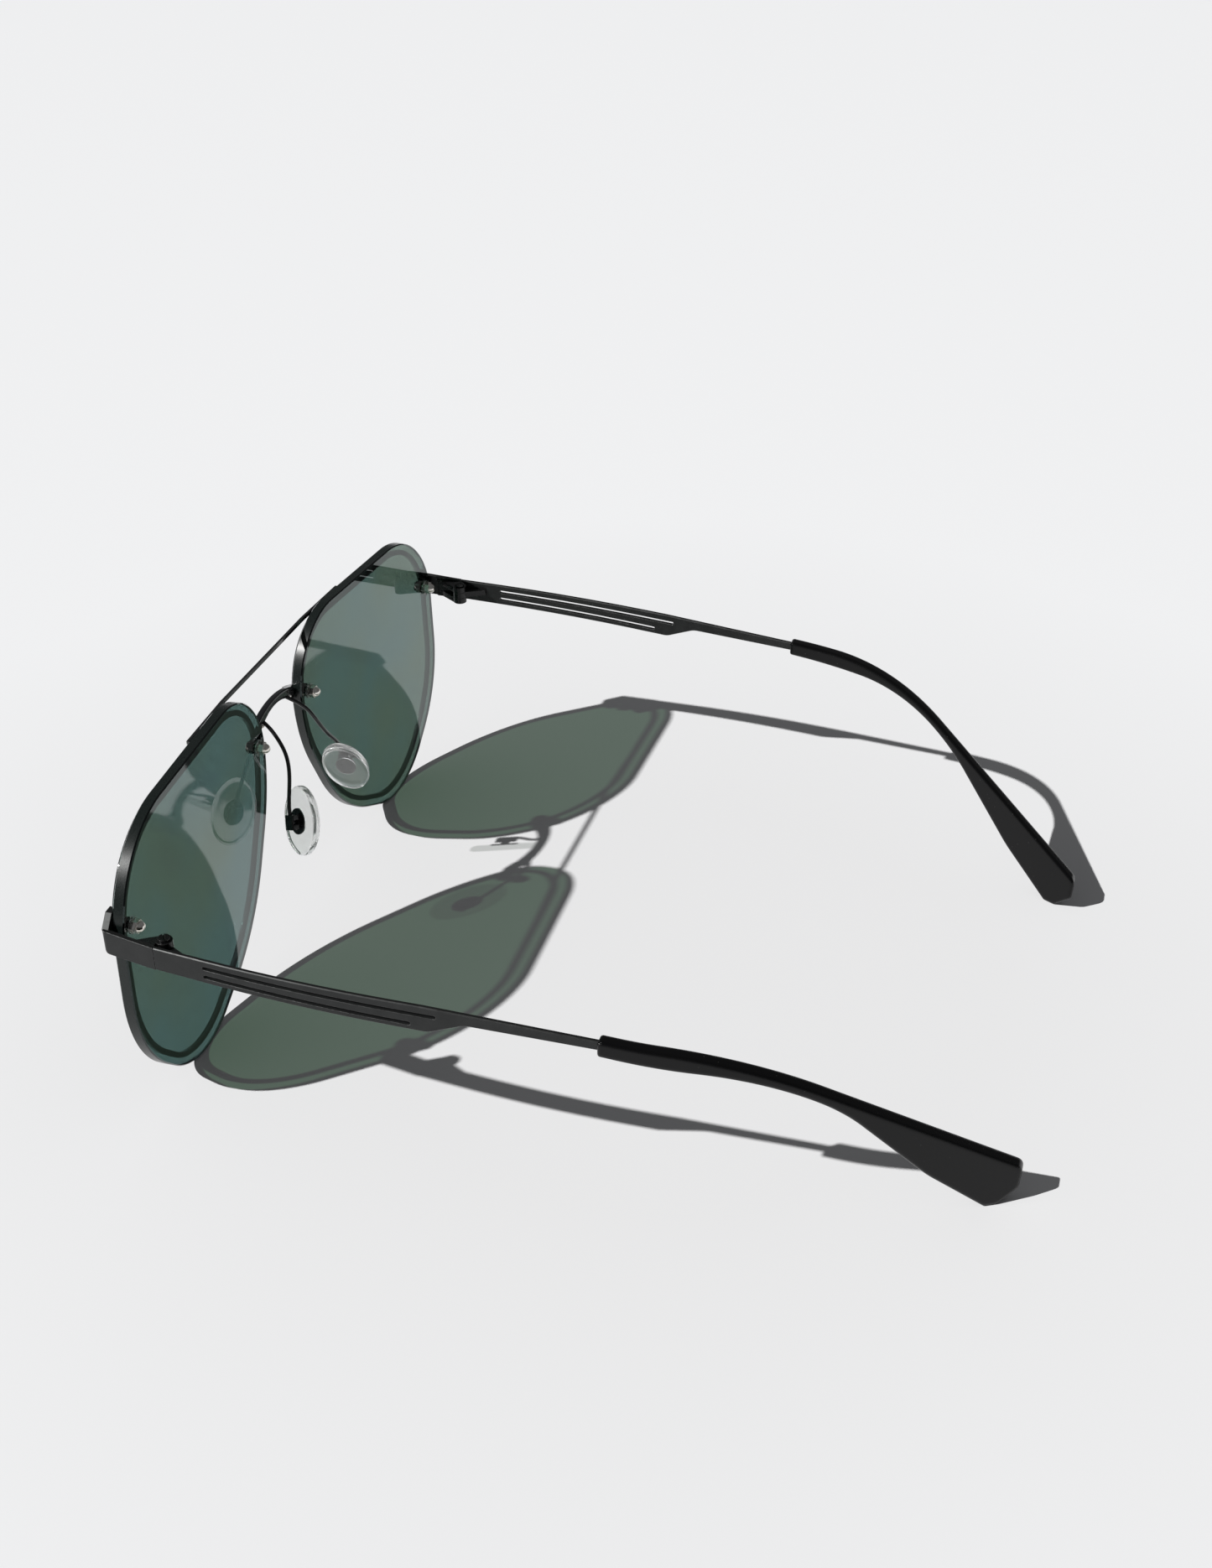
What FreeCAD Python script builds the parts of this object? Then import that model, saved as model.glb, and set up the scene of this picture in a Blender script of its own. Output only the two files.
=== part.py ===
import FreeCAD, Part
import math
import os
import Sketcher

# Aviator sunglasses with a double bridge.  Units are millimetres.
# +X is the wearer's left, -Y is the way the lenses face, +Z is up.
# The lower edges of the lenses and the temple tips stand on Z = 0.

doc = FreeCAD.newDocument("sunglasses")
sheet = doc.addObject("Spreadsheet::Sheet", "Sizes")

SIZES = [
    # whole frame
    ("front_shift", -74.19, "moves the front datum so the origin is under the middle"),
    ("lens_mid_x", 39.2, "middle of a lens from the centre plane"),
    ("lens_mid_y", 3.5, "back face of a lens behind the front datum"),
    ("lens_mid_z", 30.96, "middle of a lens above the table"),
    ("face_wrap", 3.0, "degrees each lens turns back towards the temple"),
    # lens and rim
    ("lens_thick", 2.1, ""),
    ("lens_inset", 0.0, "lens edge inside the drawn outline"),
    ("rim_inset", 1.35, "rim edge inside the drawn outline"),
    ("rim_deep", 0.8, "front to back"),
    ("rim_wide", 1.05, "in the plane of the lens"),
    ("rim_round", 0.25, "edge rounding of the rim"),
    ("lens_bevel", 0.22, ""),
    # lens fixings
    ("fix_nose_u", -28.0, "nose-side screw from the lens middle"),
    ("fix_nose_v", 12.4, ""),
    ("fix_side_u", 25.1, "temple-side screw from the lens middle"),
    ("fix_side_v", 9.8, ""),
    ("lug_rad", 1.3, ""),
    ("lug_thick", 0.85, ""),
    ("stud_rad", 0.6, ""),
    ("lens_hole_rad", 0.7, ""),
    ("head_rad", 1.05, ""),
    ("head_thick", 0.45, ""),
    ("washer_rad", 1.5, ""),
    ("washer_thick", 0.35, ""),
    ("nut_rad", 1.25, "across the corners"),
    ("nut_high", 1.1, ""),
    ("dome_rad", 0.95, ""),
    # bridge and brow bar
    ("bridge_top", 47.4, ""),
    ("bridge_end_top", 45.7, ""),
    ("bridge_under", 45.9, ""),
    ("bridge_end_under", 42.8, ""),
    ("bridge_half", 8.0, ""),
    ("bridge_deep", 1.3, ""),
    ("bridge_front_y", -0.8, ""),
    ("rivet_rad", 0.42, ""),
    ("rivet_x", 5.9, ""),
    ("rivet_z", 44.75, ""),
    ("brow_half", 31.5, ""),
    ("brow_z", 55.3, "underside of the brow bar"),
    ("brow_high", 0.7, ""),
    ("brow_deep", 0.5, ""),
    ("brow_bend_x", 17.0, ""),
    # end piece
    ("side_x", 69.5, "outer face of the frame at the hinge seam"),
    ("seam_y", 11.4, ""),
    ("seam_gap", 0.12, ""),
    ("seam_top", 41.2, ""),
    ("seam_low", 36.9, ""),
    ("corner_top", 42.1, ""),
    ("corner_low", 37.7, ""),
    ("corner_x", 68.6, ""),
    ("corner_y", 1.75, ""),
    ("strip_thick", 0.8, "metal strip of end piece and temple"),
    # hinge
    ("hinge_x", 66.6, ""),
    ("hinge_y", 12.0, ""),
    ("knuckle_rad", 1.4, ""),
    ("knuckle_low", 37.3, ""),
    ("knuckle_high", 1.2, "each of the three"),
    ("knuckle_gap", 0.05, ""),
    ("hinge_bore_rad", 0.55, ""),
    ("hinge_shank_rad", 0.5, ""),
    ("hinge_head_rad", 1.0, ""),
    ("hinge_head_high", 0.5, ""),
    # temple
    ("temple_bow_x", 70.6, "widest point of the temple in plan"),
    ("temple_bow_y", 36.0, ""),
    ("temple_turn_x", 66.3, "where the tip starts turning in"),
    ("temple_turn_y", 104.0, ""),
    ("temple_end_x", 42.0, ""),
    ("temple_end_y", 150.0, ""),
    ("temple_bow_rad", 300.0, ""),
    ("temple_turn_rad", 75.0, ""),
    ("wide_end_y", 57.5, "end of the wide slotted part"),
    ("wide_end_top", 39.5, ""),
    ("wide_end_low", 34.6, ""),
    ("thin_start_y", 64.0, ""),
    ("thin_low", 36.95, ""),
    ("bar_end_y", 89.5, "end of the metal bar inside the tip"),
    ("bar_end_top", 37.55, ""),
    ("bar_end_low", 35.95, ""),
    ("slot_start_y", 20.2, ""),
    ("slot_a_end_y", 59.6, ""),
    ("slot_b_end_y", 55.4, ""),
    ("slot_high", 0.7, ""),
    ("slot_a_start_z", 39.45, ""),
    ("slot_a_end_z", 37.8, ""),
    ("slot_b_start_z", 37.75, ""),
    ("slot_b_end_z", 35.95, ""),
    # temple tip
    ("tip_start_y", 85.3, ""),
    ("tip_thick", 2.4, ""),
    ("tip_round", 0.75, ""),
    # nose pad
    ("pad_x", 12.5, "pad pivot"),
    ("pad_y", 8.0, ""),
    ("pad_z", 28.8, ""),
    ("pad_splay", 24.5, "degrees the pad top leans to the nose"),
    ("pad_flare", 16.0, "degrees the pad face turns to the wearer"),
    ("pad_long", 13.3, ""),
    ("pad_wide", 8.3, ""),
    ("pad_thick", 2.1, ""),
    ("pad_back", 1.55, "pad back face from the pivot"),
    ("pad_round", 0.85, ""),
    ("plate_long", 5.0, ""),
    ("plate_wide", 3.7, ""),
    ("plate_thick", 0.5, ""),
    ("box_wide", 2.2, ""),
    ("box_deep", 1.8, ""),
    ("box_high", 2.8, ""),
    ("box_slot", 1.0, ""),
    ("pin_rad", 0.3, ""),
    ("pin_bore_rad", 0.36, ""),
    ("arm_rad", 0.38, "pad arm wire"),
]

for row, (name, value, note) in enumerate(SIZES, start=1):
    sheet.set("A%d" % row, name)
    sheet.set("B%d" % row, str(value))
    sheet.set("C%d" % row, note)
    sheet.setAlias("B%d" % row, name)
doc.recompute()


def size(name):
    """Value of one named size."""
    return float(sheet.get(name))


def vec(x, y, z=0.0):
    return FreeCAD.Vector(x, y, z)


def shift():
    return size("front_shift")


# Lens outline as a polygon whose corners are rounded, seen from the front
# with u towards the temple and v up.  Each row is u, v, corner radius.
OUTLINE = [
    (27.5, 24.9, 19.5),
    (-32.1, 26.9, 15.0),
    (-30.6, 2.0, 36.0),
    (-18.5, -21.4, 36.0),
    (8.9, -34.9, 18.5),
    (28.9, -15.0, 26.0),
]


def inset_polygon(rows, inset):
    """Moves every side of a rounded polygon inwards by the same distance."""
    count = len(rows)
    lines = []
    for i in range(count):
        ax, ay = rows[i][0], rows[i][1]
        bx, by = rows[(i + 1) % count][0], rows[(i + 1) % count][1]
        dx, dy = bx - ax, by - ay
        length = math.hypot(dx, dy)
        nx, ny = -dy / length, dx / length
        lines.append((ax + nx * inset, ay + ny * inset, dx, dy))
    result = []
    for i in range(count):
        x1, y1, dx1, dy1 = lines[i - 1]
        x2, y2, dx2, dy2 = lines[i]
        cross = dx1 * dy2 - dy1 * dx2
        t = ((x2 - x1) * dy2 - (y2 - y1) * dx2) / cross
        result.append((x1 + t * dx1, y1 + t * dy1, rows[i][2] - inset))
    return result


def corner_points(before, corner, after, radius):
    """Start, middle and end of the arc that rounds one corner."""
    d1 = before - corner
    d2 = after - corner
    d1.normalize()
    d2.normalize()
    angle = d1.getAngle(d2)
    back = radius / math.tan(angle / 2)
    start = corner + d1 * back
    end = corner + d2 * back
    middle_way = d1 + d2
    middle_way.normalize()
    middle = corner + middle_way * (radius / math.sin(angle / 2) - radius)
    return start, middle, end


def add_rounded_loop(sketch, rows):
    """Closed loop of lines and arcs; a corner radius of 0 stays sharp."""
    points = [vec(r[0], r[1]) for r in rows]
    count = len(points)
    arcs = []
    for i in range(count):
        if rows[i][2] > 0:
            arcs.append(corner_points(points[i - 1], points[i], points[(i + 1) % count], rows[i][2]))
        else:
            arcs.append((points[i], None, points[i]))
    for i in range(count):
        start, middle, end = arcs[i]
        if middle is not None:
            arc = Part.Arc(start, middle, end)
            sketch.addGeometry(arc, False)
        following = arcs[(i + 1) % count][0]
        if (following - end).Length > 1e-6:
            sketch.addGeometry(Part.LineSegment(end, following), False)


def add_polygon(sketch, points):
    rows = [(p[0], p[1], 0) for p in points]
    add_rounded_loop(sketch, rows)


def add_circle(sketch, x, y, radius):
    sketch.addGeometry(Part.Circle(vec(x, y), vec(0, 0, 1), radius), False)


def add_slot(sketch, x1, y1, x2, y2, width):
    """Long slot with round ends between two end centres."""
    direction = vec(x2 - x1, y2 - y1)
    direction.normalize()
    side = vec(-direction.y, direction.x) * (width / 2)
    a = vec(x1, y1)
    b = vec(x2, y2)
    out = direction * (width / 2)
    sketch.addGeometry(Part.LineSegment(a + side, b + side), False)
    sketch.addGeometry(Part.Arc(b + side, b + out, b - side), False)
    sketch.addGeometry(Part.LineSegment(b - side, a - side), False)
    sketch.addGeometry(Part.Arc(a - side, a - out, a + side), False)


def new_body(name):
    body = doc.addObject("PartDesign::Body", name)
    body.Label = name
    return body


def plane(body, role):
    for item in body.Origin.OriginFeatures:
        if item.Role == role:
            return item
    raise RuntimeError("no plane " + role)


def new_sketch(body, role, name, offset=0.0):
    sketch = body.newObject("Sketcher::SketchObject", name)
    sketch.AttachmentSupport = [(plane(body, role), "")]
    sketch.MapMode = "FlatFace"
    sketch.AttachmentOffset = FreeCAD.Placement(vec(0, 0, offset), FreeCAD.Rotation())
    return sketch


def pad(body, sketch, length, name, both_ways=False, back=False):
    """Pad whose length is a sheet expression or a number."""
    feature = body.newObject("PartDesign::Pad", name)
    feature.Profile = sketch
    if isinstance(length, str):
        feature.setExpression("Length", length)
    else:
        feature.Length = length
    feature.Midplane = both_ways
    feature.Reversed = back
    sketch.Visibility = False
    doc.recompute()
    return feature


def pocket(body, sketch, name, length=None, both_ways=False, back=False):
    """Pocket of a given depth, or right through when no depth is given."""
    feature = body.newObject("PartDesign::Pocket", name)
    feature.Profile = sketch
    if length is None:
        feature.Type = 1
    elif isinstance(length, str):
        feature.setExpression("Length", length)
    else:
        feature.Length = length
    feature.Midplane = both_ways
    feature.Reversed = back
    sketch.Visibility = False
    doc.recompute()
    return feature


def lens_placement(side):
    """Frame of one lens: its back face middle, turned by the face wrap."""
    turn = FreeCAD.Rotation(vec(0, 0, 1), side * size("face_wrap"))
    base = vec(side * size("lens_mid_x"), size("lens_mid_y") + shift(), size("lens_mid_z"))
    return FreeCAD.Placement(base, turn)


def to_lens(x, y, side):
    """Plan position in the frame of a lens, from the front datum."""
    angle = math.radians(size("face_wrap"))
    dx = x - size("lens_mid_x")
    dy = y - size("lens_mid_y")
    along = dx * math.cos(angle) + dy * math.sin(angle)
    depth = -dx * math.sin(angle) + dy * math.cos(angle)
    return side * along, depth


def rim_front_y(x):
    """Front face of a rim at one distance from the centre plane."""
    angle = math.radians(size("face_wrap"))
    total = size("lens_thick") + size("rim_deep")
    return size("lens_mid_y") - total / math.cos(angle) + (x - size("lens_mid_x")) * math.tan(angle)


def mirrored(rows, side):
    """Rounded polygon for the left or the right, kept anticlockwise."""
    if side > 0:
        return rows
    flipped = [(-r[0], r[1], r[2]) for r in rows]
    return flipped[::-1]


def fixings():
    return [
        (size("fix_nose_u"), size("fix_nose_v")),
        (size("fix_side_u"), size("fix_side_v")),
    ]


def side_name(side):
    return "left" if side > 0 else "right"


# ---------------------------------------------------------------- front

def make_rim(side):
    """Full wire rim in front of the lens with a lug at each lens screw."""
    body = new_body("rim_" + side_name(side))
    ring = new_sketch(body, "XZ_Plane", "rim_ring_" + side_name(side), size("lens_thick"))
    add_rounded_loop(ring, mirrored(inset_polygon(OUTLINE, size("rim_inset")), side))
    add_rounded_loop(ring, mirrored(inset_polygon(OUTLINE, size("rim_inset") + size("rim_wide")), side))
    pad(body, ring, "Sizes.rim_deep", "rim_pad_" + side_name(side))
    round_rim(body, side)
    lugs = new_sketch(body, "XZ_Plane", "rim_lugs_" + side_name(side), size("lens_thick"))
    r = size("lug_rad")
    nose, outer = fixings()
    nose_far = nose[0] - 1.7
    outer_far = outer[0] + 0.9
    s = side
    lug_parts = [(nose, nose_far, -1), (outer, outer_far, 1)]
    for (u, v), far, way in lug_parts:
        a = vec(s * u, v + r)
        b = vec(s * far, v + r)
        c = vec(s * far, v - r)
        d = vec(s * u, v - r)
        top = vec(s * (u - way * r), v)
        lugs.addGeometry(Part.LineSegment(a, b), False)
        lugs.addGeometry(Part.LineSegment(b, c), False)
        lugs.addGeometry(Part.LineSegment(c, d), False)
        lugs.addGeometry(Part.Arc(d, top, a), False)
    pad(body, lugs, "Sizes.lug_thick", "rim_lug_pad_" + side_name(side))
    holes = new_sketch(body, "XZ_Plane", "rim_holes_" + side_name(side), size("lens_thick"))
    for u, v in fixings():
        add_circle(holes, s * u, v, size("stud_rad") + 0.03)
    pocket(body, holes, "rim_hole_cut_" + side_name(side), None, True)
    body.Placement = lens_placement(side)
    return body


def round_rim(body, side):
    """Rounds the long front edges of the rim."""
    front = -(size("lens_thick") + size("rim_deep"))
    tip = body.Tip
    names = []
    for index, edge in enumerate(tip.Shape.Edges, start=1):
        box = edge.BoundBox
        if abs(box.YMin - front) < 1e-4 and abs(box.YMax - front) < 1e-4:
            names.append("Edge%d" % index)
    fillet = body.newObject("PartDesign::Fillet", "rim_round_" + side_name(side))
    fillet.Base = (tip, names)
    fillet.setExpression("Radius", "Sizes.rim_round")
    doc.recompute()
    if fillet.Shape.isNull() or not fillet.isValid():
        raise RuntimeError("rim rounding failed")


def make_lens(side):
    """Flat tinted lens with a screw hole near each end."""
    body = new_body("lens_" + side_name(side))
    face = new_sketch(body, "XZ_Plane", "lens_face_" + side_name(side))
    add_rounded_loop(face, mirrored(inset_polygon(OUTLINE, size("lens_inset")), side))
    pad(body, face, "Sizes.lens_thick", "lens_pad_" + side_name(side))
    tip = body.Tip
    names = []
    for index, edge in enumerate(tip.Shape.Edges, start=1):
        box = edge.BoundBox
        if box.YMax - box.YMin < 1e-4:
            names.append("Edge%d" % index)
    bevel = body.newObject("PartDesign::Chamfer", "lens_bevel_" + side_name(side))
    bevel.Base = (tip, names)
    bevel.setExpression("Size", "Sizes.lens_bevel")
    doc.recompute()
    holes = new_sketch(body, "XZ_Plane", "lens_holes_" + side_name(side))
    for u, v in fixings():
        add_circle(holes, side * u, v, size("lens_hole_rad"))
    pocket(body, holes, "lens_hole_cut_" + side_name(side), None, True)
    body.Placement = lens_placement(side)
    return body


def cylinder(name, radius, height, position, direction):
    """Part cylinder with sheet-driven size, based at a position."""
    item = doc.addObject("Part::Cylinder", name)
    item.setExpression("Radius", radius)
    item.setExpression("Height", height)
    item.Placement = FreeCAD.Placement(position, FreeCAD.Rotation(vec(0, 0, 1), direction))
    return item


def fixing_spots():
    """Screw axis of each lens fixing, and the way back, in the final frame."""
    spots = []
    for side in (1, -1):
        frame = lens_placement(side)
        for u, v in fixings():
            spots.append((frame, side * u, v))
    return spots


def fuse(name, items):
    joined = doc.addObject("Part::MultiFuse", name)
    joined.Shapes = items
    return joined


def group_solids(name, items):
    group = doc.addObject("Part::Compound", name)
    group.Links = items
    group.Label = name
    return group


def make_lens_screws():
    """Four studs with flat round heads on the front of the rim lugs."""
    items = []
    for number, (frame, u, v) in enumerate(fixing_spots()):
        back = frame.Rotation.multVec(vec(0, 1, 0))
        lug_front = -(size("lens_thick") + size("lug_thick"))
        head_at = frame.multVec(vec(u, lug_front - size("head_thick"), v))
        stud_at = frame.multVec(vec(u, lug_front - 0.1, v))
        head = cylinder("screw_head_%d" % number, "Sizes.head_rad", "Sizes.head_thick", head_at, back)
        stud_long = "Sizes.lens_thick + Sizes.lug_thick + Sizes.washer_thick + Sizes.nut_high + 0.1"
        stud = cylinder("screw_stud_%d" % number, "Sizes.stud_rad", stud_long, stud_at, back)
        items.append(fuse("lens_screw_%d" % number, [head, stud]))
    doc.recompute()
    return group_solids("lens_screws", items)


def make_washers():
    """Four soft rings between the lenses and the nuts."""
    items = []
    for number, (frame, u, v) in enumerate(fixing_spots()):
        back = frame.Rotation.multVec(vec(0, 1, 0))
        at = frame.multVec(vec(u, 0, v))
        before = frame.multVec(vec(u, -0.5, v))
        disc = cylinder("washer_disc_%d" % number, "Sizes.washer_rad", "Sizes.washer_thick", at, back)
        bore = cylinder("washer_bore_%d" % number, "Sizes.stud_rad + 0.03", "Sizes.washer_thick + 1", before, back)
        ring = doc.addObject("Part::Cut", "washer_%d" % number)
        ring.Base = disc
        ring.Tool = bore
        items.append(ring)
    doc.recompute()
    return group_solids("lens_washers", items)


def make_nuts():
    """Four small domed hexagon nuts on the wearer's side of the lenses."""
    items = []
    for number, (frame, u, v) in enumerate(fixing_spots()):
        back = frame.Rotation.multVec(vec(0, 1, 0))
        at = frame.multVec(vec(u, size("washer_thick"), v))
        dome_at = frame.multVec(vec(u, size("washer_thick") + size("nut_high"), v))
        turn = FreeCAD.Rotation(vec(0, 0, 1), back)
        prism = doc.addObject("Part::Prism", "nut_hex_%d" % number)
        prism.Polygon = 6
        prism.setExpression("Circumradius", "Sizes.nut_rad")
        prism.setExpression("Height", "Sizes.nut_high")
        prism.Placement = FreeCAD.Placement(at, turn)
        dome = doc.addObject("Part::Sphere", "nut_dome_%d" % number)
        dome.setExpression("Radius", "Sizes.dome_rad")
        dome.Placement = FreeCAD.Placement(dome_at, turn)
        bore_at = frame.multVec(vec(u, size("washer_thick") - 1.0, v))
        bore = cylinder("nut_bore_%d" % number, "Sizes.stud_rad + 0.03", "Sizes.nut_high + 1.05", bore_at, back)
        solid = fuse("nut_solid_%d" % number, [prism, dome])
        nut = doc.addObject("Part::Cut", "nut_%d" % number)
        nut.Base = solid
        nut.Tool = bore
        items.append(nut)
    doc.recompute()
    return group_solids("lens_nuts", items)


def make_bridge():
    """Arched lower bridge between the nose sides of the rims."""
    body = new_body("bridge")
    arch = new_sketch(body, "XZ_Plane", "bridge_arch", -size("bridge_front_y") - size("bridge_deep"))
    w = size("bridge_half")
    a = vec(-w, size("bridge_end_top"))
    b = vec(0, size("bridge_top"))
    c = vec(w, size("bridge_end_top"))
    d = vec(w - 0.55, size("bridge_end_under"))
    e = vec(0, size("bridge_under"))
    f = vec(-w + 0.55, size("bridge_end_under"))
    arch.addGeometry(Part.Arc(a, b, c), False)
    arch.addGeometry(Part.LineSegment(c, d), False)
    arch.addGeometry(Part.Arc(d, e, f), False)
    arch.addGeometry(Part.LineSegment(f, a), False)
    pad(body, arch, "Sizes.bridge_deep", "bridge_pad")
    tip = body.Tip
    names = []
    for index, edge in enumerate(tip.Shape.Edges, start=1):
        box = edge.BoundBox
        if box.YMax - box.YMin < 1e-4 and box.XMax - box.XMin > 5:
            names.append("Edge%d" % index)
    soft = body.newObject("PartDesign::Fillet", "bridge_round")
    soft.Base = (tip, names)
    soft.Radius = 0.35
    doc.recompute()
    tabs = new_sketch(body, "XZ_Plane", "bridge_tabs", 0.35)
    for s in (1, -1):
        tab = [(6.6, 44.3), (8.0, 43.0), (10.0, 42.6), (10.3, 44.8), (8.2, 45.6), (6.6, 46.1)]
        add_polygon(tabs, [(s * x, z) for x, z in tab][::s])
    pad(body, tabs, 0.85, "bridge_tab_pad")
    body.Placement = FreeCAD.Placement(vec(0, shift(), 0), FreeCAD.Rotation())
    return body


def make_bridge_rivets():
    """Bright round rivet heads on the back of the bridge."""
    items = []
    back_y = size("bridge_front_y") + size("bridge_deep") + shift()
    for side in (1, -1):
        at = vec(side * size("rivet_x"), back_y, size("rivet_z"))
        ball = doc.addObject("Part::Sphere", "rivet_ball_" + side_name(side))
        ball.setExpression("Radius", "Sizes.rivet_rad")
        ball.Placement = FreeCAD.Placement(at, FreeCAD.Rotation())
        half = doc.addObject("Part::Box", "rivet_half_" + side_name(side))
        half.Length = 2
        half.Width = 1
        half.Height = 2
        half.Placement = FreeCAD.Placement(at + vec(-1, 0, -1), FreeCAD.Rotation())
        cap = doc.addObject("Part::Common", "rivet_" + side_name(side))
        cap.Base = ball
        cap.Tool = half
        items.append(cap)
    doc.recompute()
    return group_solids("bridge_rivets", items)


def make_brow_bar():
    """Thin flat bar across the fronts of both rims."""
    body = new_body("brow_bar")
    plan = new_sketch(body, "XY_Plane", "brow_plan", size("brow_z"))
    bend = size("brow_bend_x")
    half = size("brow_half")
    deep = size("brow_deep")
    y_bend = rim_front_y(bend)
    y_end = rim_front_y(half)
    points = [
        (-half, y_end - deep), (-bend, y_bend - deep), (bend, y_bend - deep), (half, y_end - deep),
        (half, y_end), (bend, y_bend), (-bend, y_bend), (-half, y_end),
    ]
    add_polygon(plan, points)
    pad(body, plan, "Sizes.brow_high", "brow_pad")
    body.Placement = FreeCAD.Placement(vec(0, shift(), 0), FreeCAD.Rotation())
    return body


def make_end_piece(side):
    """Bent strip from the rim's outer edge back to the hinge seam."""
    name = "end_piece_" + side_name(side)
    body = new_body(name)
    t = size("strip_thick")
    outline = new_sketch(body, "YZ_Plane", name + "_side")
    y1 = size("corner_y")
    y2 = size("seam_y")
    lift = size("lens_mid_z")
    far = to_lens(size("side_x"), y2, 1)[1] + 0.0
    near = to_lens(size("corner_x"), y1, 1)[1]
    rows = [
        (near, size("corner_low") - lift, 1.3),
        (far + 2.0, size("seam_low") - lift - 0.18, 0),
        (far + 2.0, size("seam_top") - lift - 0.2, 0),
        (near, size("corner_top") - lift, 0.35),
    ]
    add_rounded_loop(outline, rows)
    pad(body, outline, 200.0, name + "_block", True)
    band = new_sketch(body, "XY_Plane", name + "_plan")
    cx, cy = size("corner_x"), size("corner_y")
    sx, sy = size("side_x"), size("seam_y")
    world = [
        (cx - 3.05, cy, 0), (cx, cy, 0.9), (sx, sy, 0), (sx - t, sy, 0),
        (cx - t + 0.1, cy + 1.1, 0.3), (cx - 3.05, cy + 1.1, 0),
    ]
    local = []
    for x, y, r in world:
        u, n = to_lens(x, y, side)
        local.append((u, n, r))
    if side < 0:
        local = local[::-1]
    add_rounded_loop(band, local)
    add_polygon(band, [(-150, -60), (150, -60), (150, 60), (-150, 60)])
    pocket(body, band, name + "_bend", None, True)
    glass = size("lens_thick") + 0.02
    rise = new_sketch(body, "XZ_Plane", name + "_rise", glass)
    level = size("corner_top") - lift
    wedge = [
        (26.25, level - 0.4), (28.8, level - 0.4), (28.8, level - 0.1), (26.9, level + 2.0), (25.2, level + 2.0),
    ]
    add_polygon(rise, [(side * u, v) for u, v in wedge][::side])
    pad(body, rise, -near - glass - 0.02, name + "_rise_pad")
    seats = [("lens", -0.02, glass), ("rim", size("rim_inset") - 0.02, size("lens_thick") + size("rim_deep"))]
    for label, grow, depth in seats:
        behind = new_sketch(body, "XZ_Plane", "%s_%s_seat" % (name, label), depth)
        add_rounded_loop(behind, mirrored(inset_polygon(OUTLINE, grow), side))
        before = body.Shape.Volume
        pocket(body, behind, "%s_%s_cut" % (name, label), 6.0)
        print("seat", name, label, round(before - body.Shape.Volume, 3))
    body.Placement = lens_placement(side)
    return body


def barrel_levels():
    low = size("knuckle_low")
    step = size("knuckle_high") + size("knuckle_gap")
    return [low, low + step, low + 2 * step]


def make_front_hinge(side):
    """Two knuckles and the leaf soldered inside the end piece."""
    name = "front_hinge_" + side_name(side)
    body = new_body(name)
    x, y = size("hinge_x"), size("hinge_y")
    r = size("knuckle_rad")
    inner = size("side_x") - size("strip_thick") - 0.07
    levels = barrel_levels()
    leaf = new_sketch(body, "XY_Plane", name + "_leaf", levels[0])
    add_polygon(leaf, [(side * (inner - 0.75), 6.3), (side * (inner - 0.12), 6.3),
                       (side * inner, size("seam_y") - 0.25), (side * (inner - 0.55), size("seam_y") - 0.25)])
    pad(body, leaf, 3 * size("knuckle_high") + 2 * size("knuckle_gap"), name + "_leaf_pad")
    for number, level in enumerate((levels[0], levels[2])):
        arm = new_sketch(body, "XY_Plane", "%s_arm_%d" % (name, number), level)
        add_polygon(arm, [(side * (inner - 0.14), 6.6), (side * (inner - 0.02), size("seam_y") - 0.25),
                          (side * (x + 0.95), size("seam_y") - 0.25), (side * x, y), (side * (x - r + 0.1), y - 0.35)])
        pad(body, arm, "Sizes.knuckle_high", "%s_arm_pad_%d" % (name, number))
        ring = new_sketch(body, "XY_Plane", "%s_ring_%d" % (name, number), level)
        add_circle(ring, side * x, y, r)
        pad(body, ring, "Sizes.knuckle_high", "%s_ring_pad_%d" % (name, number))
    clear = new_sketch(body, "XY_Plane", name + "_clear", levels[1] - size("knuckle_gap"))
    add_circle(clear, side * x, y, r + 0.12)
    cut = pocket(body, clear, name + "_clear_cut", size("knuckle_high") + 2 * size("knuckle_gap"), False, True)
    bore = new_sketch(body, "XY_Plane", name + "_bore")
    add_circle(bore, side * x, y, size("hinge_bore_rad"))
    pocket(body, bore, name + "_bore_cut", None, True)
    body.Placement = FreeCAD.Placement(vec(0, shift(), 0), FreeCAD.Rotation())
    return body


def make_temple_hinge(side):
    """Middle knuckle and its leaf, fixed inside the temple."""
    name = "temple_hinge_" + side_name(side)
    body = new_body(name)
    x, y = size("hinge_x"), size("hinge_y")
    r = size("knuckle_rad")
    inner = size("side_x") - size("strip_thick")
    level = barrel_levels()[1]
    ring = new_sketch(body, "XY_Plane", name + "_ring", level)
    add_circle(ring, side * x, y, r)
    pad(body, ring, "Sizes.knuckle_high", name + "_ring_pad")
    arm = new_sketch(body, "XY_Plane", name + "_arm", level)
    add_polygon(arm, [(side * x, y), (side * (x + 1.25), y - 0.35), (side * (inner + 0.05), y - 0.35),
                      (side * (inner + 0.22), y + 5.2), (side * (inner - 0.3), y + 5.2), (side * (x - 0.2), y + r - 0.1)])
    pad(body, arm, "Sizes.knuckle_high", name + "_arm_pad")
    bore = new_sketch(body, "XY_Plane", name + "_bore")
    add_circle(bore, side * x, y, size("hinge_bore_rad"))
    pocket(body, bore, name + "_bore_cut", None, True)
    body.Placement = FreeCAD.Placement(vec(0, shift(), 0), FreeCAD.Rotation())
    return body


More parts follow.
